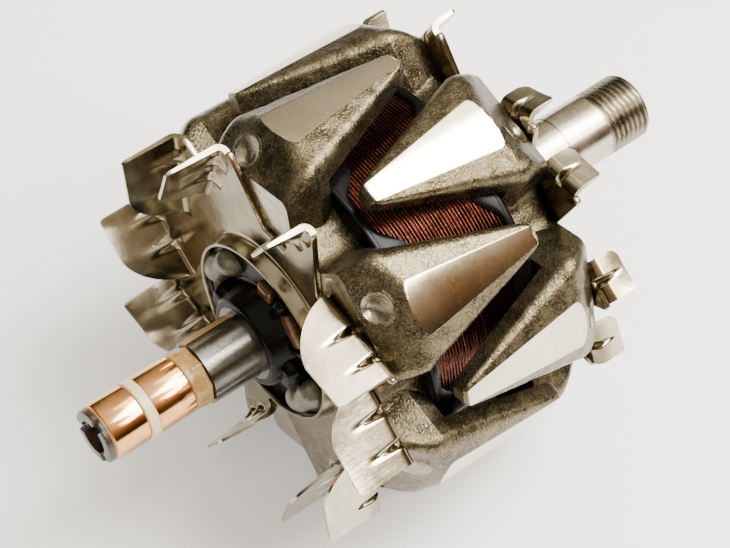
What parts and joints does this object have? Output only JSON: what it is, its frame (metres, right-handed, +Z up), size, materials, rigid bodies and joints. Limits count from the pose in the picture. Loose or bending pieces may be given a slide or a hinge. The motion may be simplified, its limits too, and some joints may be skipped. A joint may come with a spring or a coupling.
{
  "type": "alternator rotor",
  "caption": "Claw-pole rotor of a vehicle alternator: shaft with slip rings and thread, interleaved claw poles round a field coil, and a stamped fan on each end.",
  "frame": {"origin": "on the shaft axis, at the middle of the overall length", "axes": "+X along the shaft toward the threaded drive end, Z up with the rotor lying on its side"},
  "size_m": [0.1598, 0.1032, 0.1032],
  "materials": {
    "ground_steel": "turned and ground bright steel",
    "forged_steel": "shot-blasted olive-brown forging with the claw tops ground bright",
    "sheet_steel": "bright stamped sheet steel",
    "enamelled_copper": "red-brown enamelled copper wire, wound in turns",
    "ring_copper": "turned bright copper",
    "terminal_brass": "dull tinned brass with brown insulating varnish",
    "tan_plastic": "tan moulded resin",
    "black_plastic": "black moulded nylon",
    "tinned_metal": "dull grey tinned clip"
  },
  "bodies": {
    "root": {"shaft": "ground_steel", "pole_core": "forged_steel", "rear_pole": "forged_steel", "front_pole": "forged_steel", "coil_bobbin": "black_plastic", "field_coil": "enamelled_copper", "rear_fan": "sheet_steel", "front_fan": "sheet_steel", "slip_ring_moulding": "tan_plastic", "slip_ring_outer": "ring_copper", "slip_ring_inner": "ring_copper", "lead_guide": "black_plastic", "lead_bar_a": "tan_plastic", "lead_bar_b": "tan_plastic", "terminal_a": "terminal_brass", "terminal_b": "terminal_brass", "lead_clip_a": "tinned_metal", "lead_clip_b": "tinned_metal", "bearing_spacer": "ground_steel"}
  },
  "joints": []
}
